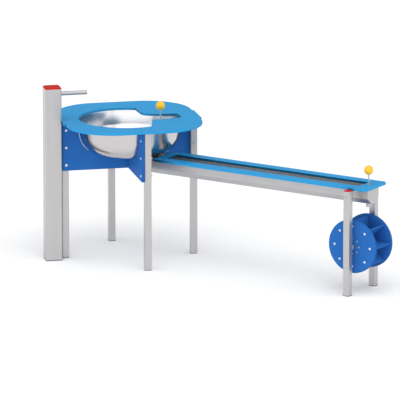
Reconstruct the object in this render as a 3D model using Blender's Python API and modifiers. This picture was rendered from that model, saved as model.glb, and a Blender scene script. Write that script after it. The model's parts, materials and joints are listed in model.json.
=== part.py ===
"""Playground sand and water table: a round basin on four legs, a water post with a spout, a long
trough with two lift-out plugs, and a paddle wheel under the trough's outlet.

Metres, +Z up, +X along the trough from the basin to the wheel. The origin is on the ground, in the
middle of the footprint. The basin, its cross panels and the post are built at 45 degrees to the trough.
"""
import bpy
import bmesh
from math import cos, sin, pi, sqrt, acos, asin, radians, ceil
from mathutils import Vector

# ---- driving dimensions -------------------------------------------------------------------------
FIT = 0.0003                      # gap between pieces that touch
BASIN_TURN = radians(45)          # basin frame against the trough

LEG = 0.040                       # square tube of every leg
LEG_WALL = 0.003
LEG_CORNER = 0.004
LEG_REACH = 0.379                 # leg centre from the basin axis, along its panel
BOARD = 0.019                     # cross panels
TOP_BOARD = 0.015                 # rim, trough frame and wheel

RIM_TOP = 0.8335                  # top of the basin rim
RIM_HALF_LONG = 0.400             # rim outline: half width towards the post
RIM_HALF_CROSS = 0.420            # half width across
RIM_CORNER = 0.268
RIM_TAB_HALF = 0.105              # end tabs that meet the post and cover the right leg
RIM_TAB_END = 0.4108
OPENING = 0.275                   # round part of the rim opening, off the bowl's axis
OPENING_CENTRE = (-0.025, -0.019)
SHELF_X = {-1: 0.076, 1: 0.084}    # where the shelf's edges leave the round opening, front and back
SLOT_END = 0.300
SLOT_EDGE = {-1: [(0.118, 0.097, 0.015), (SLOT_END, 0.083, 0.030)],     # x, distance from the seam, corner
             1: [(0.094, 0.080, 0.050), (0.195, 0.042, 0.100), (SLOT_END, 0.038, 0.028)]}

PANEL_BOTTOM = 0.529
PANEL_HALF = 0.402
BOWL_RIM = 0.314
BOWL_FLANGE = 0.336
BOWL_BOTTOM = 0.625
BOWL_FLAT = 0.170
BOWL_FILLET = 0.130
BOWL_SHEET = 0.0015
DRAIN_SEAT = 0.6386               # top of the drain fitting's lip

POST = 0.096
POST_WALL = 0.0035
POST_CORNER = 0.008
POST_REACH = 0.4593               # post centre from the basin axis
POST_TOP = 1.0365
SPOUT_Z = 0.9925
SPOUT_RADIUS = 0.0125
SPOUT_TIP = -0.252

BASIN_VALVE_SPOT = (0.192, 0.040)  # both plugs, from the basin axis, along and across the trough
TROUGH_VALVE_SPOT = (1.6380, 0)
ROD_RADIUS = 0.004
KNOB_RADIUS = 0.027
BASIN_KNOB_Z = 0.9155
TROUGH_KNOB_Z = 0.717

FRAME_TOP = 0.6323                # trough frame
FRAME_START = 0.240
FRAME_END = 1.692
FRAME_HALF = 0.1208
FRAME_SLOT = (0.293, 1.605, 0.0546)
CHANNEL_START = 0.165
CHANNEL_END = 1.669
CHANNEL_HALF = 0.060
CHANNEL_SHOULDER = 0.5605
CHANNEL_FLOOR = 0.525
CHANNEL_SHEET = 0.002

END_LEG_X = 1.5873
END_LEG_Y = 0.1435
END_LEG_TOP = 0.6155

AXLE_Z = 0.281
AXLE_RADIUS = 0.010
WHEEL_RADIUS = 0.157
WHEEL_HALF = 0.095                # outer face of a disc from the wheel's middle
PADDLE_OUTER = 0.150
PADDLE_THICK = 0.010
HUB_RADIUS = 0.025
PADDLES = 8

# The origin is midway between the rim's far corner and the wheel's far side.
RIM_REACH = (RIM_HALF_LONG + RIM_HALF_CROSS - 2 * RIM_CORNER) / sqrt(2) + RIM_CORNER
BASIN_X = (RIM_REACH - END_LEG_X - WHEEL_RADIUS) / 2


# ---- scene --------------------------------------------------------------------------------------
for old in list(bpy.data.objects):
    bpy.data.objects.remove(old, do_unlink=True)

table = bpy.data.collections.new("sand_water_table")
cutters = bpy.data.collections.new("cutters")
bpy.context.scene.collection.children.link(table)
bpy.context.scene.collection.children.link(cutters)


def material(name, colour, roughness, metallic=0.0):
    made = bpy.data.materials.new(name)
    made.use_nodes = True
    shader = made.node_tree.nodes["Principled BSDF"]
    shader.inputs["Base Color"].default_value = (*colour, 1.0)
    shader.inputs["Roughness"].default_value = roughness
    shader.inputs["Metallic"].default_value = metallic
    return made


LIGHT_BLUE = material("light_blue_board", (0.04, 0.30, 0.70), 0.45)
DARK_BLUE = material("dark_blue_board", (0.015, 0.10, 0.45), 0.45)
ALUMINIUM = material("anodised_aluminium", (0.62, 0.62, 0.62), 0.40, 1.0)
MIRROR = material("mirror_steel", (0.75, 0.75, 0.76), 0.08, 1.0)
STEEL = material("stainless_steel", (0.55, 0.55, 0.56), 0.30, 1.0)
RED = material("red_plastic", (0.65, 0.01, 0.02), 0.40)
YELLOW = material("yellow_plastic", (0.85, 0.45, 0.01), 0.35)
BLACK = material("black_rubber", (0.02, 0.02, 0.02), 0.70)


def empty(name, location, turn=0.0, parent=None):
    made = bpy.data.objects.new(name, None)
    made.location = location
    made.rotation_euler = (0, 0, turn)
    made.parent = parent
    table.objects.link(made)
    return made


BASIN = empty("basin_frame", (BASIN_X, 0, 0), BASIN_TURN)
LINE = empty("trough_line", (BASIN_X, 0, 0))
WHEEL = empty("wheel_axis", (END_LEG_X, 0, AXLE_Z), parent=LINE)
BASIN_VALVE = empty("basin_valve_axis", (*BASIN_VALVE_SPOT, 0), parent=LINE)
TROUGH_VALVE = empty("trough_valve_axis", (*TROUGH_VALVE_SPOT, 0), parent=LINE)


def place(piece, look, parent, location=(0, 0, 0), rotation=(0, 0, 0)):
    """Links a piece into the table, with its material, parent and place."""
    piece.data.materials.append(look)
    piece.parent = parent
    piece.location = location
    piece.rotation_euler = rotation
    table.objects.link(piece)
    return piece


# ---- outlines -----------------------------------------------------------------------------------
def arc(centre, radius, start, end, steps):
    """Points on an arc, both ends included. Angles in radians."""
    turns = [start + (end - start) * i / steps for i in range(steps + 1)]
    return [(centre[0] + radius * cos(a), centre[1] + radius * sin(a)) for a in turns]


def circle(centre, radius, steps=24):
    return arc(centre, radius, 0, 2 * pi, steps)[:-1]


def rounded(corners, degrees=18):
    """Closed outline from (x, y, corner radius), with each corner turned by an arc."""
    outline = []
    count = len(corners)
    for i, (x, y, radius) in enumerate(corners):
        here = Vector((x, y))
        if radius == 0:
            outline.append((x, y))
            continue
        back = (Vector(corners[i - 1][:2]) - here).normalized()
        ahead = (Vector(corners[(i + 1) % count][:2]) - here).normalized()
        opening = back.angle(ahead)
        trim = radius / (sin(opening / 2) / cos(opening / 2))
        centre = here + (back + ahead).normalized() * radius / sin(opening / 2)
        first = here + back * trim - centre
        sweep = (pi - opening) * (1 if back.cross(ahead) < 0 else -1)
        steps = max(2, ceil(abs(sweep) / radians(degrees)))
        for k in range(steps + 1):
            turn = sweep * k / steps
            outline.append((centre.x + first.x * cos(turn) - first.y * sin(turn),
                            centre.y + first.x * sin(turn) + first.y * cos(turn)))
    return outline


def square(size, corner, degrees=30):
    half = size / 2
    return rounded([(-half, -half, corner), (half, -half, corner),
                    (half, half, corner), (-half, half, corner)], degrees)


def thick_path(points, thickness):
    """Closed outline of a bent sheet whose middle follows the points."""
    points = [Vector(p) for p in points]
    sides = []
    for side in (0.5, -0.5):
        edge = []
        for i, p in enumerate(points):
            into = (p - points[i - 1]).normalized() if i else (points[1] - p).normalized()
            out = (points[i + 1] - p).normalized() if i < len(points) - 1 else into
            mitre = (into + out).normalized()
            normal = Vector((-mitre.y, mitre.x))
            edge.append(p + normal * side * thickness / mitre.dot(into))
        sides.append(edge)
    return [tuple(p) for p in sides[1] + sides[0][::-1]]


# ---- piece makers -------------------------------------------------------------------------------
def plate(name, outline, thickness, look, parent, location=(0, 0, 0), rotation=(0, 0, 0), holes=()):
    """A flat outline with a thickness. Its location is the middle of the thickness."""
    curve = bpy.data.curves.new(name, "CURVE")
    curve.dimensions = "2D"
    curve.fill_mode = "BOTH"
    curve.extrude = thickness / 2
    for loop in (outline, *holes):
        spline = curve.splines.new("POLY")
        spline.points.add(len(loop) - 1)
        for point, (x, y) in zip(spline.points, loop):
            point.co = (x, y, 0, 1)
        spline.use_cyclic_u = True
    return place(bpy.data.objects.new(name, curve), look, parent, location, rotation)


UPRIGHT_X = (pi / 2, 0, 0)        # outline's x stays x, its y points up
UPRIGHT_Y = (pi / 2, 0, pi / 2)   # outline's x runs along y, its y points up


def as_mesh(piece):
    """Turns a curve piece into a mesh piece of the same name, ready for a boolean."""
    bpy.context.view_layer.update()
    seen = piece.evaluated_get(bpy.context.evaluated_depsgraph_get())
    mesh = bpy.data.meshes.new_from_object(seen)
    work = bmesh.new()
    work.from_mesh(mesh)
    bmesh.ops.remove_doubles(work, verts=work.verts, dist=1e-5)
    bmesh.ops.recalc_face_normals(work, faces=work.faces)
    work.to_mesh(mesh)
    work.free()
    name, parent, spot = piece.name, piece.parent, piece.matrix_world.copy()
    bpy.data.objects.remove(piece, do_unlink=True)
    solid = bpy.data.objects.new(name, mesh)
    table.objects.link(solid)
    solid.parent = parent
    bpy.context.view_layer.update()
    solid.matrix_world = spot
    return solid


def round_cutter(name, radius, depth, parent, location, rotation=(0, 0, 0), sides=24):
    mesh = bpy.data.meshes.new(name)
    work = bmesh.new()
    bmesh.ops.create_cone(work, cap_ends=True, segments=sides, radius1=radius, radius2=radius, depth=depth)
    work.to_mesh(mesh)
    work.free()
    cutter = bpy.data.objects.new(name, mesh)
    cutter.parent = parent
    cutter.location = location
    cutter.rotation_euler = rotation
    cutter.hide_render = True
    cutter.display_type = "WIRE"
    cutters.objects.link(cutter)
    return cutter


def cut(piece, cutter):
    boolean = piece.modifiers.new("cut_" + cutter.name, "BOOLEAN")
    boolean.operation = "DIFFERENCE"
    boolean.solver = "EXACT"
    boolean.object = cutter


def turned(name, profile, look, parent, location=(0, 0, 0), rotation=(0, 0, 0), steps=24, closed=True):
    """A turned piece. The profile is (radius, height); its outer side runs from top to bottom."""
    mesh = bpy.data.meshes.new(name)
    edges = [(i, i + 1) for i in range(len(profile) - 1)]
    if closed:
        edges.append((len(profile) - 1, 0))
    mesh.from_pydata([(r, 0, z) for r, z in profile], edges, [])
    piece = place(bpy.data.objects.new(name, mesh), look, parent, location, rotation)
    screw = piece.modifiers.new("turn", "SCREW")
    screw.steps = steps
    screw.render_steps = steps
    screw.use_merge_vertices = True
    screw.merge_threshold = 1e-5
    screw.use_normal_calculate = False
    screw.use_smooth_shade = True
    return piece


def ring(name, inner, outer, height, look, parent, location, rotation=(0, 0, 0), steps=24):
    half = height / 2
    profile = [(inner, -half), (inner, half), (outer, half), (outer, -half)]
    return turned(name, profile, look, parent, location, rotation, steps)


def rod(name, radius, bottom, top, look, parent, steps=16, rotation=(0, 0, 0)):
    profile = [(0, top), (radius, top), (radius, bottom), (0, bottom)]
    return turned(name, profile, look, parent, rotation=rotation, steps=steps, closed=False)


def block(name, size, look, parent, location, rotation=(0, 0, 0), bevel=0.001):
    mesh = bpy.data.meshes.new(name)
    work = bmesh.new()
    bmesh.ops.create_cube(work, size=1)
    bmesh.ops.scale(work, vec=size, verts=work.verts)
    work.to_mesh(mesh)
    work.free()
    piece = place(bpy.data.objects.new(name, mesh), look, parent, location, rotation)
    rounding = piece.modifiers.new("edges", "BEVEL")
    rounding.width = bevel
    rounding.segments = 1
    return piece


def plug_cap(name, size, corner, head, insert, depth, look, parent, location, rotation=(0, 0, 0)):
    """A tube's end cap: a head of the tube's size, with an insert below it."""
    mesh = bpy.data.meshes.new(name)
    work = bmesh.new()
    work.faces.new([work.verts.new((x, y, head)) for x, y in square(size, corner)])
    work.normal_update()
    top = work.faces[:]
    lid = bmesh.ops.extrude_face_region(work, geom=top)
    moved = [v for v in lid["geom"] if isinstance(v, bmesh.types.BMVert)]
    bmesh.ops.translate(work, verts=moved, vec=(0, 0, -head))
    under = [f for f in lid["geom"] if isinstance(f, bmesh.types.BMFace)]
    bmesh.ops.inset_region(work, faces=under, thickness=(size - insert) / 2, use_even_offset=True)
    stub = bmesh.ops.extrude_face_region(work, geom=under)
    bmesh.ops.delete(work, geom=under, context="FACES_ONLY")
    bmesh.ops.translate(work, verts=[v for v in stub["geom"] if isinstance(v, bmesh.types.BMVert)],
                        vec=(0, 0, -depth))
    bmesh.ops.recalc_face_normals(work, faces=work.faces)
    work.to_mesh(mesh)
    work.free()
    return place(bpy.data.objects.new(name, mesh), look, parent, location, rotation)


def tube(name, points, radius, wall, look, parent):
    """A round pipe along the points, open at both ends."""
    curve = bpy.data.curves.new(name, "CURVE")
    curve.dimensions = "3D"
    curve.bevel_depth = radius
    curve.bevel_resolution = 4
    spline = curve.splines.new("POLY")
    spline.points.add(len(points) - 1)
    for point, at in zip(spline.points, points):
        point.co = (*at, 1)
    pipe = as_mesh(place(bpy.data.objects.new(name, curve), look, parent))
    shell = pipe.modifiers.new("wall", "SOLIDIFY")
    shell.thickness = wall
    shell.offset = -1
    pipe.data.shade_smooth()
    return pipe


def square_tube(name, size, corner, wall, height, parent, location):
    bore = square(size - 2 * wall, max(corner - wall, 0.001))
    return plate(name, square(size, corner), height, ALUMINIUM, parent,
                 (location[0], location[1], location[2] + height / 2), holes=[bore])


# ---- water post ---------------------------------------------------------------------------------
def water_post():
    centre = (-POST_REACH, 0)
    foot_head = 0.004
    cap_head = 0.0085
    post = as_mesh(square_tube("water_post", POST, POST_CORNER, POST_WALL,
                               POST_TOP - cap_head - foot_head - 2 * FIT, BASIN,
                               (*centre, foot_head + FIT)))
    exit_hole = round_cutter("spout_hole", SPOUT_RADIUS + FIT, POST / 2, BASIN,
                             (centre[0] + POST / 2, 0, SPOUT_Z), (0, pi / 2, 0))
    cut(post, exit_hole)
    insert = POST - 2 * POST_WALL - 2 * FIT
    plug_cap("post_cap", POST, POST_CORNER, cap_head, insert, 0.018, RED, BASIN,
             (*centre, POST_TOP - cap_head))
    plug_cap("post_foot", POST, POST_CORNER, foot_head, insert, 0.018, BLACK, BASIN,
             (*centre, foot_head), (pi, 0, 0))
    bend = 0.030
    elbow = [(centre[0] + bend - bend * cos(a), 0, SPOUT_Z - bend + bend * sin(a))
             for a in [pi / 2 * i / 6 for i in range(7)]]
    elbow_start = SPOUT_Z - 0.060
    tube("spout_pipe", [(centre[0], 0, elbow_start), *elbow, (SPOUT_TIP, 0, SPOUT_Z)],
         SPOUT_RADIUS, 0.002, STEEL, BASIN)
    tube("riser_pipe", [(centre[0], 0, 0.060), (centre[0], 0, elbow_start - FIT)],
         0.0105, 0.002, STEEL, BASIN)


# ---- basin --------------------------------------------------------------------------------------
LEG_OFFSET = LEG / 2 + BOARD / 2 + FIT          # a leg stands beside its panel
RIM_BOTTOM = RIM_TOP - TOP_BOARD
BASIN_LEGS = {"left": (-LEG_REACH, LEG_OFFSET), "front": (LEG_OFFSET, -LEG_REACH),
              "right": (LEG_REACH, -LEG_OFFSET), "back": (-LEG_OFFSET, LEG_REACH)}


def capped_leg(name, foot_name, parent, spot, top):
    foot_head = 0.003
    square_tube(name, LEG, LEG_CORNER, LEG_WALL, top - foot_head - FIT, parent,
                (*spot, foot_head + FIT))
    plug_cap(foot_name, LEG, LEG_CORNER, foot_head, LEG - 2 * LEG_WALL - 2 * FIT, 0.015, BLACK,
             parent, (*spot, foot_head), (pi, 0, 0))


def basin_legs():
    for side, spot in BASIN_LEGS.items():
        capped_leg("leg_" + side, "foot_" + side, BASIN, spot, RIM_BOTTOM - FIT)


def bowl_wall(offset=0.0, steps=10):
    """Half profile of the bowl from its flat floor up to the rim, moved outwards by the offset."""
    centre = (BOWL_FLAT, BOWL_BOTTOM + BOWL_FILLET)
    rim = (BOWL_RIM + offset, RIM_BOTTOM - BOWL_SHEET - 2 * FIT)
    lean = 0.19
    curve = arc(centre, BOWL_FILLET + offset, -pi / 2, -lean, steps)
    return curve + [rim]


def bowl():
    flange_top = RIM_BOTTOM - FIT
    flange_under = flange_top - BOWL_SHEET
    inner = bowl_wall(-BOWL_SHEET)
    outer = bowl_wall()
    profile = [(0, BOWL_BOTTOM + BOWL_SHEET), *inner[:-1], (BOWL_RIM - BOWL_SHEET, flange_top),
               (BOWL_FLANGE, flange_top), (BOWL_FLANGE, flange_under), (BOWL_RIM, flange_under),
               *outer[:-1][::-1], (0, BOWL_BOTTOM)]
    piece = turned("bowl", profile, MIRROR, BASIN, steps=48, closed=False)
    drain_radius = 0.018
    hole = round_cutter("drain_hole", drain_radius, 0.03, BASIN_VALVE, (0, 0, BOWL_BOTTOM))
    cut(piece, hole)
    bore = 0.014
    lip = 0.0018
    pipe_end = 0.598
    pipe_top = DRAIN_SEAT - lip - FIT
    ring("drain_fitting", bore, drain_radius - FIT, pipe_top - pipe_end, STEEL, BASIN_VALVE,
         (0, 0, (pipe_top + pipe_end) / 2))
    ring("drain_lip", bore, 0.021, lip, STEEL, BASIN_VALVE, (0, 0, DRAIN_SEAT - lip / 2))
    nut = 0.006
    ring("drain_nut", drain_radius + FIT, 0.026, nut, STEEL, BASIN_VALVE,
         (0, 0, BOWL_BOTTOM - FIT - nut / 2))


def panel_outline(lap_from_top):
    """One cross panel: it cradles the bowl, and a half lap lets the other one through."""
    clear = FIT
    wall = bowl_wall(clear)[:-1]
    ledge = RIM_BOTTOM - BOWL_SHEET - 3 * FIT
    top = RIM_BOTTOM - FIT
    right = [(PANEL_HALF, PANEL_BOTTOM, 0.006), (PANEL_HALF, top, 0),
             (BOWL_FLANGE + 0.001, top, 0), (BOWL_FLANGE + 0.001, ledge, 0),
             (BOWL_RIM + clear, ledge, 0)]
    right += [(x, z, 0) for x, z in wall[::-1]]
    left = [(-x, z, r) for x, z, r in right[::-1]]
    half = BOARD / 2 + FIT
    floor = BOWL_BOTTOM - clear
    middle = (PANEL_BOTTOM + floor) / 2
    if lap_from_top:
        notch = [(half, floor, 0), (half, middle - FIT, 0), (-half, middle - FIT, 0), (-half, floor, 0)]
        return rounded(right + notch + left, 30)
    notch = [(-half, PANEL_BOTTOM, 0), (-half, middle + FIT, 0), (half, middle + FIT, 0),
             (half, PANEL_BOTTOM, 0)]
    return rounded(right + left + notch, 30)


def cross_panels():
    plate("panel_long", panel_outline(False), BOARD, DARK_BLUE, BASIN, rotation=UPRIGHT_X)
    plate("panel_cross", panel_outline(True), BOARD, DARK_BLUE, BASIN, rotation=UPRIGHT_Y)


def rim_half(side):
    """Half of the rim, split along the line from the post to the right leg. side is -1 or 1."""
    seam = FIT
    corner_x = RIM_HALF_LONG - RIM_CORNER
    corner_y = RIM_HALF_CROSS - RIM_CORNER
    outer = [(RIM_TAB_END, seam), (RIM_TAB_END, RIM_TAB_HALF), (RIM_HALF_LONG, RIM_TAB_HALF)]
    outer += arc((corner_x, corner_y), RIM_CORNER, 0, pi / 2, 14)
    outer += arc((-corner_x, corner_y), RIM_CORNER, pi / 2, pi, 14)
    outer += [(-RIM_HALF_LONG, RIM_TAB_HALF), (-RIM_TAB_END, RIM_TAB_HALF), (-RIM_TAB_END, seam)]
    shelf_x = SHELF_X[side]
    centre = (OPENING_CENTRE[0], OPENING_CENTRE[1] * side)
    seam_turn = pi - asin((seam - centre[1]) / OPENING)
    shelf_turn = acos((shelf_x - centre[0]) / OPENING)
    step_y = centre[1] + OPENING * sin(shelf_turn)
    shelf = rounded([(shelf_x, step_y, 0), *SLOT_EDGE[side], (SLOT_END, seam, 0)], 12)
    inner = arc(centre, OPENING, seam_turn, shelf_turn, 27)[:-1]
    return [(x, y * side) for x, y in outer + inner + shelf]


def rim():
    middle = RIM_TOP - TOP_BOARD / 2
    along, across = BASIN_VALVE_SPOT
    guide_spot = (along * cos(BASIN_TURN) + across * sin(BASIN_TURN),
                  across * cos(BASIN_TURN) - along * sin(BASIN_TURN))
    guide_hole = circle(guide_spot, 0.0085, 16)
    plate("rim_front", rim_half(-1), TOP_BOARD, LIGHT_BLUE, BASIN, (0, 0, middle), holes=[guide_hole])
    plate("rim_back", rim_half(1), TOP_BOARD, LIGHT_BLUE, BASIN, (0, 0, middle))


# ---- lift-out plugs -----------------------------------------------------------------------------
def valve(prefix, parent, seat, board_top, knob_z, plug_low, plug_high):
    """A rubber plug on a rod, with a ball knob on top and a guide bush in the board."""
    plug_top = seat + 0.014
    grip = 0.015
    turned(prefix + "_plug",
           [(0, plug_top), (plug_high, plug_top), (plug_low, seat + FIT), (0, seat + FIT)],
           BLACK, parent, closed=False)
    rod_top = knob_z - KNOB_RADIUS + grip
    rod(prefix + "_rod", ROD_RADIUS, plug_top + FIT, rod_top, STEEL, parent)
    mesh = bpy.data.meshes.new(prefix + "_knob")
    work = bmesh.new()
    bmesh.ops.create_uvsphere(work, u_segments=24, v_segments=14, radius=KNOB_RADIUS)
    work.to_mesh(mesh)
    work.free()
    mesh.shade_smooth()
    knob = place(bpy.data.objects.new(prefix + "_knob", mesh), YELLOW, parent, (0, 0, knob_z))
    socket = round_cutter(prefix + "_socket", ROD_RADIUS + FIT, 2 * grip + 2 * FIT, parent,
                          (0, 0, knob_z - KNOB_RADIUS), sides=16)
    cut(knob, socket)
    bore = ROD_RADIUS + FIT
    bush = 0.0085 - FIT
    collar = 0.0100
    turned(prefix + "_guide",
           [(bore, board_top - TOP_BOARD), (bore, board_top + 0.0016), (collar, board_top + 0.0016),
            (collar, board_top + FIT), (bush, board_top + FIT), (bush, board_top - TOP_BOARD)],
           STEEL, parent, steps=16)


# ---- trough -------------------------------------------------------------------------------------
def channel_path():
    flange = FRAME_TOP - TOP_BOARD - FIT - CHANNEL_SHEET / 2
    side = [(0.086, flange), (CHANNEL_HALF, flange), (CHANNEL_HALF, CHANNEL_SHOULDER),
            (0.0157, CHANNEL_FLOOR)]
    return [(-y, z) for y, z in side] + side[::-1]


def trough():
    sheet = CHANNEL_SHEET
    start = CHANNEL_START + sheet + FIT
    end = CHANNEL_END - sheet - FIT
    channel = as_mesh(plate("trough_channel", thick_path(channel_path(), sheet), end - start, STEEL,
                            LINE, ((start + end) / 2, 0, 0), UPRIGHT_Y))
    outlet_radius = 0.013
    cut(channel, round_cutter("outlet_hole", outlet_radius, 0.02, TROUGH_VALVE, (0, 0, CHANNEL_FLOOR)))
    half = CHANNEL_HALF + sheet / 2
    under = channel_path()[1][1] - sheet / 2
    floor = CHANNEL_FLOOR - sheet / 2
    end_outline = [(-half, under), (-half, CHANNEL_SHOULDER), (-0.0155, floor), (0.0155, floor),
                   (half, CHANNEL_SHOULDER), (half, under)]
    plate("trough_end_basin", end_outline, sheet, STEEL, LINE, (CHANNEL_START + sheet / 2, 0, 0),
          UPRIGHT_Y)
    plate("trough_end_wheel", end_outline, sheet, STEEL, LINE, (CHANNEL_END - sheet / 2, 0, 0),
          UPRIGHT_Y)
    drop = 0.0205
    ring("trough_outlet", outlet_radius, 0.0152, drop, STEEL, TROUGH_VALVE,
         (0, 0, floor - FIT - drop / 2))
    slot_start, slot_end, slot_half = FRAME_SLOT
    outline = rounded([(FRAME_START, -FRAME_HALF, 0.010), (FRAME_END, -FRAME_HALF, 0.026),
                       (FRAME_END, FRAME_HALF, 0.026), (FRAME_START, FRAME_HALF, 0.010)])
    slot = rounded([(slot_start, -slot_half, 0.012), (slot_end, -slot_half, 0.012),
                    (slot_end, slot_half, 0.012), (slot_start, slot_half, 0.012)])
    plate("trough_frame", outline, TOP_BOARD, LIGHT_BLUE, LINE, (0, 0, FRAME_TOP - TOP_BOARD / 2),
          holes=[slot, circle(TROUGH_VALVE_SPOT, 0.0085, 16)])


def hanger():
    """Bent bracket that carries the trough's basin end on the two cross panels."""
    sheet = 0.004
    wing = 0.030
    face_x = CHANNEL_START - FIT - sheet / 2
    skin = (BOARD / 2 + FIT + sheet / 2) * sqrt(2)
    corner_y = face_x - skin
    path = [(face_x + wing, -corner_y - wing), (face_x, -corner_y), (face_x, corner_y),
            (face_x + wing, corner_y + wing)]
    plate("hanger_bracket", thick_path(path, sheet), 0.055, STEEL, LINE, (0, 0, 0.5725))


# ---- wheel end ----------------------------------------------------------------------------------
def wheel_end():
    for side, name in ((-1, "front"), (1, "back")):
        spot = (END_LEG_X, side * END_LEG_Y)
        capped_leg("end_leg_" + name, "end_foot_" + name, LINE, spot, END_LEG_TOP)
        plug_cap("end_cap_" + name, LEG, LEG_CORNER, 0.0045, LEG - 2 * LEG_WALL - 2 * FIT, 0.015, RED,
                 LINE, (*spot, END_LEG_TOP + FIT))
        inner_face = END_LEG_Y - LEG / 2 - FIT
        sheet = 0.0036
        shelf_z = FRAME_TOP - TOP_BOARD - 2 * FIT - CHANNEL_SHEET - sheet / 2
        path = [(side * (inner_face - sheet / 2), 0.570), (side * (inner_face - sheet / 2), shelf_z),
                (side * (CHANNEL_HALF + 0.002), shelf_z)]
        plate("leg_bracket_" + name, thick_path(path, sheet), LEG, STEEL, LINE,
              (END_LEG_X, 0, 0), UPRIGHT_Y)
        housing = 0.012
        ring("bearing_" + name, AXLE_RADIUS + FIT, 0.022, housing, STEEL, WHEEL,
             (0, side * (inner_face - housing / 2), 0), UPRIGHT_X)
        collar = inner_face - housing - WHEEL_HALF - 3 * FIT
        ring("collar_" + name, AXLE_RADIUS + FIT, 0.016, collar, STEEL, WHEEL,
             (0, side * (WHEEL_HALF + FIT + collar / 2), 0), UPRIGHT_X)
        disc_y = side * (WHEEL_HALF - TOP_BOARD / 2)
        plate("wheel_disc_" + name, circle((0, 0), WHEEL_RADIUS, 64), TOP_BOARD, DARK_BLUE, WHEEL,
              (0, disc_y, 0), UPRIGHT_X, holes=[circle((0, 0), AXLE_RADIUS + FIT, 24)])
    inner_half = WHEEL_HALF - TOP_BOARD - FIT
    rod("axle", AXLE_RADIUS, -inner_face + 0.001, inner_face - 0.001, STEEL, WHEEL, 24, UPRIGHT_X)
    ring("hub", AXLE_RADIUS + FIT, HUB_RADIUS, 2 * inner_half, DARK_BLUE, WHEEL, (0, 0, 0), UPRIGHT_X)
    reach = PADDLE_OUTER - HUB_RADIUS - FIT
    middle = HUB_RADIUS + FIT + reach / 2
    for i in range(PADDLES):
        turn = 2 * pi * i / PADDLES
        block("paddle_%d" % (i + 1), (reach, 2 * inner_half, PADDLE_THICK), DARK_BLUE, WHEEL,
              (middle * cos(turn), 0, middle * sin(turn)), (0, -turn, 0))


water_post()
basin_legs()
bowl()
cross_panels()
rim()
valve("basin", BASIN_VALVE, DRAIN_SEAT, RIM_TOP, BASIN_KNOB_Z, 0.0165, 0.020)
trough()
valve("trough", TROUGH_VALVE, CHANNEL_FLOOR + CHANNEL_SHEET / 2, FRAME_TOP, TROUGH_KNOB_Z,
      0.0147, 0.019)
hanger()
wheel_end()
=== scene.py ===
"""Looks of a playground sand and water table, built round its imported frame.

Metres, +Z up, +X along the trough from the basin to the wheel. Places and sizes come from the frame's
nodes, and what the frame doesn't say is a named value. The basin, its cross panels and the water post
stand at 45 degrees to the trough.
"""
import json
from math import acos, atan2, ceil, cos, pi, radians, sin

import bmesh
import bpy
from mathutils import Matrix, Vector

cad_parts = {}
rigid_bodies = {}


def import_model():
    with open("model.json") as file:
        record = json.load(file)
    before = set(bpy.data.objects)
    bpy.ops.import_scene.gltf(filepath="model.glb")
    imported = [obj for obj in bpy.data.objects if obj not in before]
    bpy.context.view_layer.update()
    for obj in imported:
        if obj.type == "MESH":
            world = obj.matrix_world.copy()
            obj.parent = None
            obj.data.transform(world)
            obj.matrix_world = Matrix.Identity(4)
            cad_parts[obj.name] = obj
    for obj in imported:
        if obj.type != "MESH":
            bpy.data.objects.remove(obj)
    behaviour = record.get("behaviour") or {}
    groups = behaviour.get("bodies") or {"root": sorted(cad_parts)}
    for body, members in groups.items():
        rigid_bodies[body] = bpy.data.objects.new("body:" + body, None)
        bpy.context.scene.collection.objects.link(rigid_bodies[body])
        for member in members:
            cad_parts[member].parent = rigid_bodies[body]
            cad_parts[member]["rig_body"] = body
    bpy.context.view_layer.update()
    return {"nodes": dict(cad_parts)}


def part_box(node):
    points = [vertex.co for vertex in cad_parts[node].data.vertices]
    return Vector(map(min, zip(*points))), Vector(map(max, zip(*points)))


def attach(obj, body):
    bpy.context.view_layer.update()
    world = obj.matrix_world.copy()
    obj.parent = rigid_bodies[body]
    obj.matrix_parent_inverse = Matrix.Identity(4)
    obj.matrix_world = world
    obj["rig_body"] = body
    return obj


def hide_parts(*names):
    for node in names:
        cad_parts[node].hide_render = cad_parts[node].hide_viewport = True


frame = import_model()

UPRIGHT_X = Matrix.Rotation(pi / 2, 4, "X")                 # local x stays x, local y points up
UPRIGHT_Y = Matrix.Rotation(pi / 2, 4, "Z") @ UPRIGHT_X     # local x runs along y, local y points up


# ---- places from the frame ----------------------------------------------------------------------
def low(node):
    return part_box(node)[0]


def high(node):
    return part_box(node)[1]


def middle(node):
    return (low(node) + high(node)) / 2


def at(x, y, z=0.0):
    return Matrix.Translation((x, y, z))


def body_of(node):
    return frame["nodes"][node]["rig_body"]


BOWL_MIDDLE = middle("bowl")
BASIN = at(BOWL_MIDDLE.x, BOWL_MIDDLE.y) @ Matrix.Rotation(radians(45), 4, "Z")
LINE = at(BOWL_MIDDLE.x, BOWL_MIDDLE.y)
WHEEL = Matrix.Translation(middle("axle"))


def basin_spot(node):
    """The middle of a node in the basin's own turned frame."""
    return BASIN.inverted() @ middle(node)


# ---- shader helpers -----------------------------------------------------------------------------
def add(tree, kind, inputs=None, **settings):
    """One shader node. Each input is a value or another node's output."""
    made = tree.nodes.new("ShaderNode" + kind)
    for key, value in settings.items():
        setattr(made, key, value)
    for key, value in (inputs or {}).items():
        if isinstance(value, bpy.types.NodeSocket):
            tree.links.new(value, made.inputs[key])
        else:
            made.inputs[key].default_value = value
    return made


def principled(name, **values):
    made = bpy.data.materials.new(name)
    made.use_nodes = True
    shader = made.node_tree.nodes["Principled BSDF"]
    for key, value in values.items():
        shader.inputs[key.replace("_", " ")].default_value = value
    return made, made.node_tree, shader


def drive(tree, shader, **sources):
    for key, source in sources.items():
        tree.links.new(source, shader.inputs[key.replace("_", " ")])


def coordinates(tree, stretch=(1, 1, 1)):
    spot = add(tree, "TexCoord").outputs["Object"]
    return add(tree, "Mapping", {"Vector": spot, "Scale": stretch}).outputs["Vector"]


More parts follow.
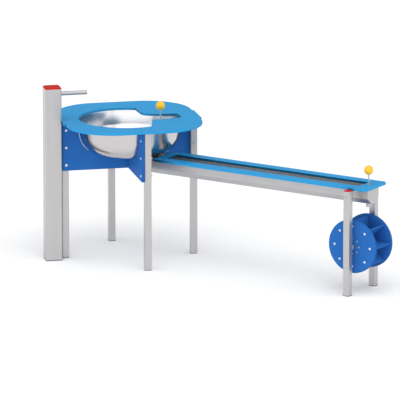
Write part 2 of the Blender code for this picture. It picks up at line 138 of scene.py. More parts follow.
def noise(tree, scale, stretch=(1, 1, 1), detail=3.0):
    spot = coordinates(tree, stretch)
    return add(tree, "TexNoise", {"Vector": spot, "Scale": scale, "Detail": detail}).outputs[0]


def between(tree, value, least, most, start=0.0, end=1.0):
    """The value's stretch from start to end, spread from least to most."""
    limits = {"Value": value, "From Min": start, "From Max": end, "To Min": least, "To Max": most}
    return add(tree, "MapRange", limits).outputs["Result"]


def ramp(tree, value, first, last, start=0.0, end=1.0):
    made = add(tree, "ValToRGB", {"Fac": value})
    for stop, place, colour in zip(made.color_ramp.elements, (start, end), (first, last)):
        stop.position = place
        stop.color = (*colour, 1)
    return made.outputs["Color"]


def blend_of(tree, share, first, second, kind="FLOAT"):
    """first at share 0, second at share 1."""
    made = add(tree, "Mix", data_type=kind)
    slots = {"FLOAT": (0, 2, 3, 0), "RGBA": (0, 6, 7, 2)}[kind]
    for slot, value in zip(slots[:3], (share, first, second)):
        if isinstance(value, bpy.types.NodeSocket):
            tree.links.new(value, made.inputs[slot])
        else:
            made.inputs[slot].default_value = value
    return made.outputs[slots[3]]


def bump(tree, shader, height, distance, strength=1.0):
    made = add(tree, "Bump", {"Height": height, "Distance": distance, "Strength": strength})
    tree.links.new(made.outputs["Normal"], shader.inputs["Normal"])


def shade(colour, share):
    return tuple(min(1.0, part * share) for part in colour)


# ---- materials ----------------------------------------------------------------------------------
def board(name, colour, specular, edge, painted_shade_edge):
    """Satin board with pebbled faces; its cut edges take the edge share of its colour. Painted shade: an
    ambient occlusion node darkens the edges towards the last share where they are enclosed, as inside an
    opening.
    """
    made, tree, shader = principled(name, Specular_IOR_Level=specular)
    normal = add(tree, "TexCoord").outputs["Normal"]
    across = add(tree, "SeparateXYZ", {"Vector": normal}).outputs["Z"]
    upright = add(tree, "Math", {0: across}, operation="ABSOLUTE").outputs[0]
    face = between(tree, upright, 0.0, 1.0, 0.75, 0.97)
    clouds = noise(tree, 7.0)
    pebbles = add(tree, "TexVoronoi", {"Vector": coordinates(tree), "Scale": 620.0, "Smoothness": 0.6},
                  feature="SMOOTH_F1").outputs["Distance"]
    router = noise(tree, 420.0, (1, 1, 0.04), 2.0)
    skin = ramp(tree, clouds, shade(colour, 0.95), shade(colour, 1.05), 0.3, 0.7)
    # Painted shade: enclosed edges, such as the inner walls of openings, are darkened by the occlusion
    # node.
    painted_shade_occlusion = add(tree, "AmbientOcclusion", {"Distance": 0.30}, samples=6).outputs["AO"]
    edge_tone_with_painted_shade = blend_of(tree, between(tree, painted_shade_occlusion, 0.0, 1.0, 0.52, 0.78),
                      (*shade(colour, painted_shade_edge), 1), (*shade(colour, edge), 1), "RGBA")
    roughness = blend_of(tree, face, between(tree, router, 0.42, 0.56),
                         between(tree, clouds, 0.36, 0.46))
    drive(tree, shader, Base_Color=blend_of(tree, face, edge_tone_with_painted_shade, skin, "RGBA"), Roughness=roughness)
    bump(tree, shader, blend_of(tree, face, router, pebbles), 0.00012, 0.6)
    return made


def anodised():
    """Anodised aluminium tube, with faint drawing lines along its length, which is local z."""
    made, tree, shader = principled("anodised_aluminium", Metallic=0.8)
    lines = noise(tree, 330.0, (1, 1, 0.006), 4.0)
    clouds = noise(tree, 9.0, (1, 1, 0.3))
    tone = ramp(tree, lines, (0.478, 0.468, 0.470), (0.530, 0.520, 0.524), 0.3, 0.7)
    drive(tree, shader, Base_Color=tone, Roughness=between(tree, clouds, 0.30, 0.42))
    bump(tree, shader, lines, 0.00004, 0.5)
    return made


def brushed():
    """Brushed stainless steel. The brush runs along local z."""
    made, tree, shader = principled("brushed_steel", Metallic=0.72)
    lines = noise(tree, 520.0, (1, 1, 0.015), 4.0)
    clouds = noise(tree, 11.0)
    tone = ramp(tree, lines, (0.45, 0.445, 0.455), (0.52, 0.515, 0.525), 0.3, 0.7)
    drive(tree, shader, Base_Color=tone, Roughness=between(tree, clouds, 0.32, 0.44))
    bump(tree, shader, lines, 0.00004, 0.5)
    return made


def polished():
    """Polished steel with faint rings round its axis, which is local z. Lit and shaded copies of one
    steel: the bowl's inner faces get a bright tone as painted reflection and its outer faces a darker
    tone as painted shade.
    """
    made, tree, shader = principled("polished_steel", Metallic=1.0)
    spot = add(tree, "SeparateXYZ", {"Vector": coordinates(tree)})
    square = [add(tree, "Math", {0: spot.outputs[k], 1: 2.0}, operation="POWER").outputs[0]
              for k in "XY"]
    total = add(tree, "Math", {0: square[0], 1: square[1]}, operation="ADD").outputs[0]
    reach = add(tree, "Math", {0: total}, operation="SQRT").outputs[0]
    ring = add(tree, "CombineXYZ", {"X": reach, "Y": spot.outputs["Z"]}).outputs["Vector"]
    rings = add(tree, "TexNoise", {"Vector": ring, "Scale": 700.0, "Detail": 3.0}).outputs[0]
    clouds = noise(tree, 8.0)
    outwards = {"X": spot.outputs["X"], "Y": spot.outputs["Y"], "Z": -0.2}
    down = add(tree, "CombineXYZ", outwards).outputs["Vector"]
    normal = add(tree, "TexCoord").outputs["Normal"]
    facing = add(tree, "VectorMath", {0: normal, 1: down}, operation="DOT_PRODUCT").outputs["Value"]
    painted_shade_outer_face = between(tree, facing, 0.0, 1.0, -0.02, 0.02)
    # Painted light: inner is a brighter copy of the steel as painted reflection, outer a darker copy as
    # painted shade.
    inner = ramp(tree, rings, (0.845, 0.85, 0.86), (0.895, 0.90, 0.91), 0.3, 0.7)
    outer = ramp(tree, rings, (0.56, 0.535, 0.54), (0.62, 0.595, 0.60), 0.3, 0.7)
    roughness = blend_of(tree, painted_shade_outer_face, between(tree, clouds, 0.15, 0.18),
                         between(tree, clouds, 0.12, 0.20))
    drive(tree, shader, Base_Color=blend_of(tree, painted_shade_outer_face, inner, outer, "RGBA"), Roughness=roughness)
    bump(tree, shader, rings, 0.000005, 0.2)
    return made


def gloss(name, colour, roughness, specular):
    """Moulded plastic with a slight orange peel."""
    made, tree, shader = principled(name, Specular_IOR_Level=specular)
    clouds = noise(tree, 45.0)
    peel = noise(tree, 420.0, detail=1.0)
    tone = ramp(tree, clouds, shade(colour, 0.94), shade(colour, 1.06), 0.3, 0.7)
    satin = between(tree, clouds, roughness - 0.04, roughness + 0.06)
    drive(tree, shader, Base_Color=tone, Roughness=satin)
    bump(tree, shader, peel, 0.00006, 0.4)
    return made


def rubber():
    made, tree, shader = principled("rubber", Specular_IOR_Level=0.35)
    dust = noise(tree, 160.0)
    tone = ramp(tree, dust, (0.016, 0.016, 0.017), (0.032, 0.032, 0.034), 0.3, 0.7)
    drive(tree, shader, Base_Color=tone, Roughness=between(tree, dust, 0.55, 0.75))
    bump(tree, shader, dust, 0.0001, 0.4)
    return made


def plated():
    """Zinc-plated bolt heads, paler than the steel sheets."""
    made, tree, shader = principled("zinc_plate", Metallic=0.35)
    spangle = noise(tree, 260.0)
    tone = ramp(tree, spangle, (0.80, 0.83, 0.87), (0.90, 0.93, 0.96), 0.3, 0.7)
    drive(tree, shader, Base_Color=tone, Roughness=between(tree, spangle, 0.30, 0.42))
    return made


LIGHT_BLUE = (0.025, 0.318, 0.660)
DARK_BLUE = (0.028, 0.146, 0.472)
RED = (0.54, 0.018, 0.015)
YELLOW = (0.86, 0.50, 0.012)
# The last share of each board is its painted shade: the tone of its edges where they are enclosed.
LOOKS = {"light_blue_board": board("light_blue_polyethylene", LIGHT_BLUE, 0.12, 0.94, 0.19),
         "dark_blue_board": board("dark_blue_polyethylene", DARK_BLUE, 0.004, 0.80, 0.66),
         "aluminium": anodised(), "stainless_steel": brushed(), "mirror_steel": polished(),
         "red_plastic": gloss("red_polyamide", RED, 0.45, 0.10),
         "yellow_plastic": gloss("yellow_phenolic", YELLOW, 0.16, 0.5), "black_rubber": rubber()}
PLATED = plated()


# ---- outlines -----------------------------------------------------------------------------------
def turn_at(loop, i):
    """The signed turn of a closed loop at its point i."""
    into = loop[i] - loop[i - 1]
    out = loop[(i + 1) % len(loop)] - loop[i]
    return atan2(into.x * out.y - into.y * out.x, into.dot(out))


def finer(loop, sagitta=0.00003):
    """The loop with extra points on its arcs, which are runs of equal steps with slight turns."""
    least, most = radians(1.5), radians(35)
    count = len(loop)
    lengths = [(loop[(i + 1) % count] - loop[i]).length for i in range(count)]
    turns = [turn_at(loop, i) for i in range(count)]
    made = []
    for i in range(count):
        after = (i + 1) % count
        alike = [turns[corner] for corner, beside in ((i, i - 1), (after, after))
                 if least < abs(turns[corner]) < most and abs(lengths[beside] / lengths[i] - 1) < 0.12]
        made.append(loop[i])
        if not alike:
            continue
        sweep = max(alike, key=abs)
        radius = lengths[i] / 2 / sin(abs(sweep) / 2)
        parts = max(1, ceil(abs(sweep) / (2 * acos(1 - min(0.5, sagitta / radius)))))
        chord = loop[after] - loop[i]
        left = Vector((-chord.y, chord.x)).normalized()
        side = 1 if sweep > 0 else -1
        centre = (loop[i] + loop[after]) / 2 + left * side * radius * cos(sweep / 2)
        arm = loop[i] - centre
        for k in range(1, parts):
            angle = sweep * k / parts
            made.append(centre + Vector((arm.x * cos(angle) - arm.y * sin(angle),
                                         arm.x * sin(angle) + arm.y * cos(angle))))
    return made


def rounded(corners, steps=5):
    """An outline whose corners (x, y, radius) are turned by arcs."""
    made = []
    for i, (x, y, radius) in enumerate(corners):
        here = Vector((x, y))
        if radius == 0:
            made.append(here)
            continue
        back = (Vector(corners[i - 1][:2]) - here).normalized()
        ahead = (Vector(corners[(i + 1) % len(corners)][:2]) - here).normalized()
        half = back.angle(ahead) / 2
        first = here + back * radius * cos(half) / sin(half)
        centre = here + (back + ahead).normalized() * radius / sin(half)
        sweep = (pi - 2 * half) * (1 if back.cross(ahead) < 0 else -1)
        arm = first - centre
        for k in range(steps + 1):
            angle = sweep * k / steps
            made.append(centre + Vector((arm.x * cos(angle) - arm.y * sin(angle),
                                         arm.x * sin(angle) + arm.y * cos(angle))))
    return made


def bent(loop, sheet, inside):
    """A bent sheet's section with its folds rounded: their inner radius is inside."""
    count = len(loop)
    corners = []
    for i, point in enumerate(loop):
        short = min((point - loop[i - 1]).length, (loop[(i + 1) % count] - point).length) < 1.6 * sheet
        turn = turn_at(loop, i)
        fold = 0 if short or abs(turn) < radians(20) else inside + (sheet if turn > 0 else 0)
        corners.append((point.x, point.y, fold))
    return rounded(corners)


def inset(loop, distance):
    """The loop moved to its left, which is into the material for outlines and holes alike."""
    made = []
    for i, point in enumerate(loop):
        into = (point - loop[i - 1]).normalized()
        out = (loop[(i + 1) % len(loop)] - point).normalized()
        one, two = Vector((-into.y, into.x)), Vector((-out.y, out.x))
        made.append(point + (one + two) * distance / (1 + one.dot(two)))
    return made


def flat_loops(node, place):
    """A plate's outlines seen along local z, with its lowest and highest z."""
    work = bmesh.new()
    work.from_mesh(frame["nodes"][node].data)
    work.transform(place.inverted())
    bmesh.ops.remove_doubles(work, verts=work.verts, dist=1e-5)
    work.normal_update()
    heights = [v.co.z for v in work.verts]
    lid_height = max(heights) - 1e-4
    lid = {f for f in work.faces if f.normal.z > 0.99 and f.calc_center_median().z > lid_height}
    ahead = {}
    for face in lid:
        for corner in face.loops:
            if not any(other in lid for other in corner.edge.link_faces if other is not face):
                ahead[corner.vert] = corner.link_loop_next.vert
    loops = []
    while ahead:
        vert, following = ahead.popitem()
        loop = [vert]
        while following is not vert:
            loop.append(following)
            following = ahead.pop(following)
        loops.append([v.co.xy.copy() for v in loop])
    loops = [[p for i, p in enumerate(loop) if abs(turn_at(loop, i)) > 1e-3] for loop in loops]
    work.free()
    return loops, min(heights), max(heights)


# ---- mesh makers --------------------------------------------------------------------------------
def ring_of(work, points, height):
    return [work.verts.new((p[0], p[1], height)) for p in points]


def bridge(work, one, two):
    """Quads from one ring to the next; a ring at a pole repeats its one vertex."""
    for i in range(len(one)):
        j = (i + 1) % len(one)
        corners = list(dict.fromkeys((one[i], one[j], two[j], two[i])))
        if len(corners) > 2:
            work.faces.new(corners)


def closed_mesh(work, name):
    bmesh.ops.recalc_face_normals(work, faces=work.faces)
    mesh = bpy.data.meshes.new(name)
    work.to_mesh(mesh)
    work.free()
    return mesh


def plate_mesh(name, loops, bottom, top, rounding, steps=3):
    """A plate between two heights, with rounded edges round its outline and its holes."""
    work = bmesh.new()
    quarter = [k * pi / 2 / steps for k in range(steps + 1)]
    rise = [(rounding * (1 - cos(a)), top - rounding + rounding * sin(a)) for a in quarter]
    fall = [(distance, bottom + top - height) for distance, height in rise[::-1]]
    lids = ([], [])
    for loop in loops:
        rings = [ring_of(work, inset(loop, distance), height) for distance, height in fall + rise]
        for one, two in zip(rings, rings[1:]):
            bridge(work, one, two)
        lids[0].append(rings[0])
        lids[1].append(rings[-1])
    for lid in lids:
        edges = [work.edges.get((ring[i - 1], ring[i])) for ring in lid for i in range(len(ring))]
        bmesh.ops.triangle_fill(work, use_beauty=True, edges=edges)
    return closed_mesh(work, name)


def turned_mesh(name, profile, steps=64, closed=True):
    """A turned piece from (radius, height), or (radius, height, sides) for a ring with flat sides."""
    work = bmesh.new()
    rings = []
    for radius, height, *sides in profile:
        if radius < 1e-6:
            rings.append([work.verts.new((0, 0, height))] * steps)
            continue
        points = []
        for i in range(steps):
            angle = 2 * pi * i / steps
            reach = radius
            if sides:
                sector = 2 * pi / sides[0]
                reach = radius / cos((angle + sector / 2) % sector - sector / 2)
            points.append((reach * cos(angle), reach * sin(angle)))
        rings.append(ring_of(work, points, height))
    for one, two in zip(rings, rings[1:] + rings[:1] if closed else rings[1:]):
        bridge(work, one, two)
    return closed_mesh(work, name)


def pipe_mesh(name, path, outer, inner, steps=40):
    """A round pipe along a path in local x and z, open at both ends, with eased lips."""
    easing = 0.0004
    path = [Vector(p) for p in path]
    ways = []
    for i in range(len(path)):
        ways.append((path[min(i + 1, len(path) - 1)] - path[max(i - 1, 0)]).normalized())
    last = len(path) - 1
    start, end = path[0] + ways[0] * easing, path[last] - ways[last] * easing
    stations = [(path[0], ways[0], outer - easing), (start, ways[0], outer)]
    stations += [(path[i], ways[i], outer) for i in range(1, last)]
    stations += [(end, ways[last], outer), (path[last], ways[last], outer - easing),
                 (path[last], ways[last], inner + easing), (end, ways[last], inner)]
    stations += [(path[i], ways[i], inner) for i in range(last - 1, 0, -1)]
    stations += [(start, ways[0], inner), (path[0], ways[0], inner + easing)]
    work = bmesh.new()
    rings = []
    for spot, way, radius in stations:
        ring = []
        for i in range(steps):
            angle = 2 * pi * i / steps
            aside = Vector((-way.y, way.x)) * radius * cos(angle)
            ring.append(work.verts.new((spot.x + aside.x, radius * sin(angle), spot.y + aside.y)))
        rings.append(ring)
    for one, two in zip(rings, rings[1:] + rings[:1]):
        bridge(work, one, two)
    return closed_mesh(work, name)


def sphere_profile(radius, start, end, steps):
    """Points of a half circle, from one height angle to another, in radians."""
    turns = [start + (end - start) * i / steps for i in range(steps + 1)]
    return [(radius * cos(a), radius * sin(a)) for a in turns]


# ---- pieces -------------------------------------------------------------------------------------
def piece(name, mesh, place, body, slot, stands_for=(), look=None):
    """Links a mesh at its place, shades it, says what it rides on, and hides the CAD parts it stands for.
    """
    made = bpy.data.objects.new(name, mesh)
    made.matrix_world = place
    bpy.context.scene.collection.objects.link(made)
    mesh.materials.append(look or LOOKS[slot])
    mesh.shade_smooth()
    mesh.set_sharp_from_angle(angle=radians(38))
    weighted = made.modifiers.new("normals", "WEIGHTED_NORMAL")
    weighted.keep_sharp = True
    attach(made, body)
    if stands_for:
        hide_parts(*stands_for)
    return made


def finish_of(node, mesh, place, slot):
    return piece(node + "_finish", mesh, place, body_of(node), slot, (node,))


def plate_from(node, place, slot, rounding, sheet=None):
    """Remakes a CAD plate with round arcs and rounded edges. sheet is a bent sheet's thickness."""
    loops, bottom, top = flat_loops(node, place)
    if sheet:
        loops = [bent(loop, sheet, sheet) for loop in loops]
    else:
        loops = [finer(loop) for loop in loops]
    return finish_of(node, plate_mesh(node, loops, bottom, top, rounding), place, slot)


def cut_hole(target, radius, place):
    """A round hole through a piece. The cutter goes once the hole is in the mesh."""
    mesh = turned_mesh("cutter", [(0, 0.02), (radius, 0.02), (radius, -0.02), (0, -0.02)], 48, False)
    cutter = bpy.data.objects.new("cutter", mesh)
    cutter.matrix_world = place
    bpy.context.scene.collection.objects.link(cutter)
    hole = target.modifiers.new("hole", "BOOLEAN")
    hole.operation = "DIFFERENCE"
    hole.solver = "EXACT"
    hole.object = cutter
    target.modifiers.move(len(target.modifiers) - 1, 0)
    bpy.context.view_layer.update()
    seen = target.evaluated_get(bpy.context.evaluated_depsgraph_get())
    target.data = bpy.data.meshes.new_from_object(seen)
    target.modifiers.remove(hole)
    bpy.data.objects.remove(cutter)


def copies(name, mesh, places, body, slot, look=None):
    """One piece made of a mesh repeated at several places."""
    work = bmesh.new()
    for place in places:
        fresh = mesh.copy()
        fresh.transform(place)
        work.from_mesh(fresh)
        bpy.data.meshes.remove(fresh)
    centre = sum((place.translation for place in places), Vector()) / len(places)
    work.transform(Matrix.Translation(-centre))
    return piece(name, closed_mesh(work, name), Matrix.Translation(centre), body, slot, look=look)


def towards(spot, way):
    """A place whose local z points along way."""
    turn = Vector((0, 0, 1)).rotation_difference(Vector(way)).to_matrix().to_4x4()
    return Matrix.Translation(spot) @ turn


def dome_bolt(radius, height, washer, socket=0.0028):
    """A dome head with a hexagon socket, on a washer of the given radius. Local z points outwards."""
    base = 0.0012
    ease = base / 3
    profile = [(washer, 0), (washer, base - ease), (washer - ease, base), (radius, base)]
    top = sphere_profile(1.0, radians(12), radians(66), 6)
    profile += [(radius * c, base + height * s) for c, s in top]
    profile += [(socket * 1.15, base + height, 6), (socket, base + height * 0.95, 6),
                (socket, base + height * 0.35, 6), (0, base + height * 0.3)]
    profile += [(0, -0.001), (washer, -0.001)]
    return turned_mesh("bolt", profile, 36)


def hex_nut(radius, height):
    """A chamfered hexagon nut on a washer, with the bolt's end in it. Local z points outwards."""
    washer = 0.0014
    profile = [(radius * 1.28, -0.001), (radius * 1.28, washer * 0.7), (radius * 1.22, washer),
               (radius * 0.97, washer), (radius, washer + height * 0.1, 6),
               (radius, washer + height * 0.9, 6), (radius * 0.94, washer + height),
               (radius * 0.55, washer + height), (radius * 0.55, washer + height * 1.35),
               (radius * 0.42, washer + height * 1.5), (0, washer + height * 1.5), (0, -0.001)]
    return turned_mesh("nut", profile, 36)


def sunk_screw(radius):
    """A countersunk screw head, just below a board's face, with a hexagon socket."""
    profile = [(radius, 0.0004), (radius * 0.93, 0.0006), (radius * 0.52, 0.0006, 6),
               (radius * 0.48, 0.0002, 6), (radius * 0.48, -0.0006, 6), (0, -0.0006), (0, -0.001),
               (radius, -0.001)]
    return turned_mesh("screw", profile, 30)


# ---- water post ---------------------------------------------------------------------------------
POST_CORNER = 0.008
POST_WALL = 0.0035
LEG_CORNER = 0.004
LEG_WALL = 0.003


def on_axis(node, turned_as):
    """The place on the ground under a node's middle, turned as its frame is."""
    spot = middle(node)
    return at(spot.x, spot.y) @ turned_as.to_3x3().to_4x4()


def square_outline(half, corner, steps=8):
    return rounded([(-half, -half, corner), (half, -half, corner),
                    (half, half, corner), (-half, half, corner)], steps)


def half_width(node, place):
    loops = flat_loops(node, place)[0]
    return max(abs(p.x) for loop in loops for p in loop)


def square_tube(node, corner, wall, turned_as):
    """A drawn square tube with round corners inside and out."""
    place = on_axis(node, turned_as)
    half = half_width(node, place)
    inner = square_outline(half - wall, max(corner - wall, 0.001), 4)[::-1]
    tube = plate_mesh(node, [square_outline(half, corner), inner], low(node).z, high(node).z, 0.0004, 2)
    return finish_of(node, tube, place, "aluminium")


def stacked_mesh(name, layers):
    """A solid from (outline, height) layers, with a flat bottom and top."""
    work = bmesh.new()
    rings = [ring_of(work, outline, height) for outline, height in layers]
    for one, two in zip(rings, rings[1:]):
        bridge(work, one, two)
    work.faces.new(rings[0])
    work.faces.new(rings[-1])
    return closed_mesh(work, name)


def crowned_cap(node, half, corner, head, crown_corner, turned_as):
    """A tube's red end cap: its insert, a flange as wide as the tube, and a raised soft-edged crown."""
    place = on_axis(node, turned_as)
    bottom, top = low(node).z, high(node).z
    flange = square_outline(half, corner)
    crown = square_outline(half - 0.0004, crown_corner)
    insert = square_outline(half - 0.0045, max(corner - 0.003, 0.001))
    step = top - head * 0.55
    layers = [(insert, bottom), (insert, top - head), (flange, top - head), (flange, step - 0.0002),
              (inset(flange, 0.0003), step), (crown, step)]
    for k in range(1, 5):
        angle = pi / 2 * k / 4
        ease = head * 0.5
        layers.append((inset(crown, ease * (1 - cos(angle))), top - ease + ease * sin(angle)))
    return finish_of(node, stacked_mesh(node, layers), place, "red_plastic")


def foot(node, half, turned_as):
    """A foot insert, whose sole is as wide as its tube."""
    place = on_axis(node, turned_as)
    bottom, top = low(node).z, high(node).z
    sole = square_outline(half, LEG_CORNER)
    insert = square_outline(half - 0.0042, 0.001)
    head = 0.003
    layers = [(inset(sole, 0.0006), bottom), (sole, bottom + 0.0006), (sole, bottom + head),
              (insert, bottom + head), (insert, top - 0.002), (inset(insert, 0.001), top)]
    return finish_of(node, stacked_mesh(node, layers), place, "black_rubber")


def water_post():
    place = on_axis("water_post", BASIN)
    half = half_width("water_post", place)
    post = square_tube("water_post", POST_CORNER, POST_WALL, BASIN)
    crowned_cap("post_cap", half, POST_CORNER, 0.0085, 0.015, BASIN)
    foot("post_foot", half, BASIN)
    spout = flat_box("spout_pipe", BASIN)
    radius = (spout[1].y - spout[0].y) / 2
    bend = 0.030
    height = spout[1].z - radius
    start = BASIN.inverted() @ middle("water_post")
    wall = 0.002
    turn = [(start.x + bend * (1 - cos(a)), height - bend * (1 - sin(a)))
            for a in [pi / 2 * k / 8 for k in range(9)]]
    path = [(start.x, spout[0].z), *turn, (spout[1].x, height)]
    pipe = pipe_mesh("spout_pipe", path, radius, radius - wall)
    finish_of("spout_pipe", pipe, BASIN, "stainless_steel")
    way_out = BASIN @ towards((start.x + half, 0, height), (1, 0, 0))
    cut_hole(post, radius + 0.0003, way_out)
    collar = turned_mesh("spout_collar", [(radius + 0.0002, 0.0002), (radius + 0.0045, 0.0002),
                                          (radius + 0.0045, 0.0014), (radius + 0.0012, 0.0040),
                                          (radius + 0.0002, 0.0042)], 48)
    piece("spout_collar", collar, way_out, "base", "stainless_steel")


def flat_box(node, place):
    """The lowest and highest corner of a node in another frame."""
    back = place.inverted()
    spots = [back @ v.co for v in frame["nodes"][node].data.vertices]
    return (Vector([min(s[k] for s in spots) for k in range(3)]),
            Vector([max(s[k] for s in spots) for k in range(3)]))


# ---- basin --------------------------------------------------------------------------------------
def basin_legs():
    for side in ("left", "front", "right", "back"):
        node = "leg_" + side
        square_tube(node, LEG_CORNER, LEG_WALL, BASIN)
        foot("foot_" + side, half_width(node, on_axis(node, BASIN)), BASIN)


BOWL_FLAT, BOWL_FILLET = 0.170, 0.130    # radius of the flat floor, and of the fillet round it
BOWL_LEAN = 0.19                         # the wall's lean from upright, in radians
BOWL_LEDGE = 0.022                       # width of the flange
HIGHLIGHT_TUBE_LOW = 0.95                          # the painted highlight tube's lower end, in radians below the fillet's centre


def bowl_highlight_tubes():
    """Thin pale tubes along the edges of the long cross panel beside the bowl: a painted highlight on the
    panel's cut edge.
    """
    bottom, top = low("bowl").z, high("bowl").z
    wall_top = (high("bowl").x - low("bowl").x) / 2 - BOWL_LEDGE
    arc_end = (BOWL_FLAT + BOWL_FILLET * cos(BOWL_LEAN), bottom + BOWL_FILLET * (1 - sin(BOWL_LEAN)))
    path = [(BOWL_FLAT + BOWL_FILLET * cos(a), bottom + BOWL_FILLET * (1 + sin(a)))
            for a in [-HIGHLIGHT_TUBE_LOW + (HIGHLIGHT_TUBE_LOW - BOWL_LEAN) * k / 12 for k in range(12)]]
    path += [arc_end, (wall_top - 0.001, top - 0.006)]
    highlight_tube = pipe_mesh("bowl_highlight_tube", path, 0.0016, 0.0002, steps=12)
    half_board = flat_box("panel_long", BASIN)[1].y
    places = [BASIN @ Matrix.Rotation(turn, 4, "Z") @ at(0, side * half_board)
              for turn in (0, pi) for side in (-1, 1)]
    # Painted highlight: pale tubes in the zinc finish stand for the light on the panel's cut edge.
    copies("bowl_highlight_tubes", highlight_tube, places, "base", "aluminium", PLATED)


def bowl():
    """The pressed bowl: a flat floor, a round fillet, a leaning wall and a flat flange."""
    bottom, top = low("bowl").z, high("bowl").z
    flange = (high("bowl").x - low("bowl").x) / 2
    sheet, flat, fillet, lean = 0.0015, BOWL_FLAT, BOWL_FILLET, BOWL_LEAN
    wall_top = flange - BOWL_LEDGE
    under = top - sheet

    def wall(offset, steps=20):
        turns = [-pi / 2 + (pi / 2 - lean) * k / steps for k in range(steps + 1)]
        return [(flat + (fillet - offset) * cos(a), bottom + fillet + (fillet - offset) * sin(a))
                for a in turns]

    lip = 0.004
    roll = [(wall_top - sheet + lip * (1 - cos(a)), top - lip + lip * sin(a))
            for a in [pi / 2 * k / 5 for k in range(1, 6)]]
    outer_roll = [(wall_top + (lip - sheet) * (1 - cos(a)), under - (lip - sheet) * (1 - sin(a)))
                  for a in [pi / 2 * k / 5 for k in range(1, 6)]]
    inner = [(0, bottom + sheet)] + [(flat * k / 4, bottom + sheet) for k in range(1, 4)] + wall(sheet)
    outer = wall(0)[::-1] + [(flat * k / 4, bottom) for k in range(3, 0, -1)] + [(0, bottom)]
    edge = [(flange - 0.0004, top), (flange, top - 0.0004), (flange, under + 0.0004),
            (flange - 0.0004, under)]
    profile = inner + [(wall_top - sheet, top - lip)] + roll + edge + outer_roll[::-1] + outer
    made = finish_of("bowl", turned_mesh("bowl", profile, 144, False), LINE, "mirror_steel")
    drain_spot = middle("drain_fitting")
    cut_hole(made, 0.0178, at(drain_spot.x, drain_spot.y, bottom))


def drain():
    """The threaded drain pipe, its lip and its lock nut."""
    spot = middle("drain_fitting")
    place = at(spot.x, spot.y)
    bore = 0.014
    radius = (high("drain_fitting").x - low("drain_fitting").x) / 2
    bottom, top = low("drain_fitting").z, high("drain_fitting").z
    threads = []
    pitch = 0.0018
    count = int((top - 0.018 - bottom) / pitch)
    for k in range(count):
        foot_z = bottom + 0.001 + pitch * k
        threads += [(radius, foot_z + pitch * 0.25), (radius - 0.0008, foot_z + pitch * 0.75)]
    neck = [(radius, top - 0.016), (radius, top), (bore, top)]
    profile = [(bore, bottom), (radius - 0.0008, bottom)] + threads + neck
    finish_of("drain_fitting", turned_mesh("drain_fitting", profile, 48), place, "stainless_steel")
    lip_radius = (high("drain_lip").x - low("drain_lip").x) / 2
    under, over = low("drain_lip").z, high("drain_lip").z
    lip = [(bore, under), (lip_radius - 0.0003, under), (lip_radius, under + 0.0003),
           (lip_radius, over - 0.0009), (lip_radius - 0.0009, over), (bore + 0.0006, over),
           (bore, over - 0.0006)]
    finish_of("drain_lip", turned_mesh("drain_lip", lip, 64), place, "stainless_steel")
    nut = (low("drain_nut").z, high("drain_nut").z)
    across = (high("drain_nut").x - low("drain_nut").x) / 2 * cos(pi / 6)
    hole = 0.0180
    faces = [(hole, nut[0]), (across * 0.97, nut[0]), (across, nut[0] + 0.001, 6),
             (across, nut[1] - 0.001, 6), (across * 0.97, nut[1]), (hole, nut[1])]
    finish_of("drain_nut", turned_mesh("drain_nut", faces, 48), place, "stainless_steel")


BOARD_EDGE = 0.0022


def basin_boards():
    plate_from("panel_long", BASIN @ UPRIGHT_X, "dark_blue_board", BOARD_EDGE)
    plate_from("panel_cross", BASIN @ UPRIGHT_Y, "dark_blue_board", BOARD_EDGE)
    for side in ("front", "back"):
        plate_from("rim_" + side, LINE, "light_blue_board", BOARD_EDGE)


PANEL_BOLTS = (0.563, 0.667, 0.771)      # heights of the three bolts at each leg
LEG_HALF = 0.020


def panel_fixings():
    """Three bolts through each leg and its panel: a dome head on the panel, a nut on the leg."""
    head = dome_bolt(0.0055, 0.0028, 0.0074)
    nut = hex_nut(0.0060, 0.0048)
    half_board = (flat_box("panel_long", BASIN)[1].y - flat_box("panel_long", BASIN)[0].y) / 2
    for side in ("left", "front", "right", "back"):
        leg = basin_spot("leg_" + side)
        along_x = abs(leg.x) > abs(leg.y)
        across = leg.y if along_x else leg.x
        away = Vector((0, -1, 0) if along_x else (-1, 0, 0)) * (1 if across > 0 else -1)
        heads, nuts = [], []
        for height in PANEL_BOLTS:
            on_panel = Vector((leg.x, 0, height)) if along_x else Vector((0, leg.y, height))
            heads.append(BASIN @ towards(on_panel + away * half_board, away))
            leg_face = Vector((leg.x, leg.y, height)) - away * LEG_HALF
            nuts.append(BASIN @ towards(leg_face, -away))
        copies("panel_bolts_" + side, head, heads, "base", "stainless_steel", PLATED)
        copies("panel_nuts_" + side, nut, nuts, "base", "stainless_steel")


def rim_screws():
    """Countersunk screws in the rim: a pair above each leg and one towards each corner."""
    top = high("rim_front").z
    spots = []
    for side in (-1, 1):
        spots += [(side * 0.362, 0.030), (side * 0.362, -0.030)]
        spots += [(0.030, side * 0.366), (-0.030, side * 0.366)]
        spots += [(side * 0.262, 0.262), (side * 0.262, -0.262)]
    places = [BASIN @ towards((x, y, top - 0.0004), (0, 0, 1)) for x, y in spots]
    copies("rim_screws", sunk_screw(0.0040), places, "base", "stainless_steel")


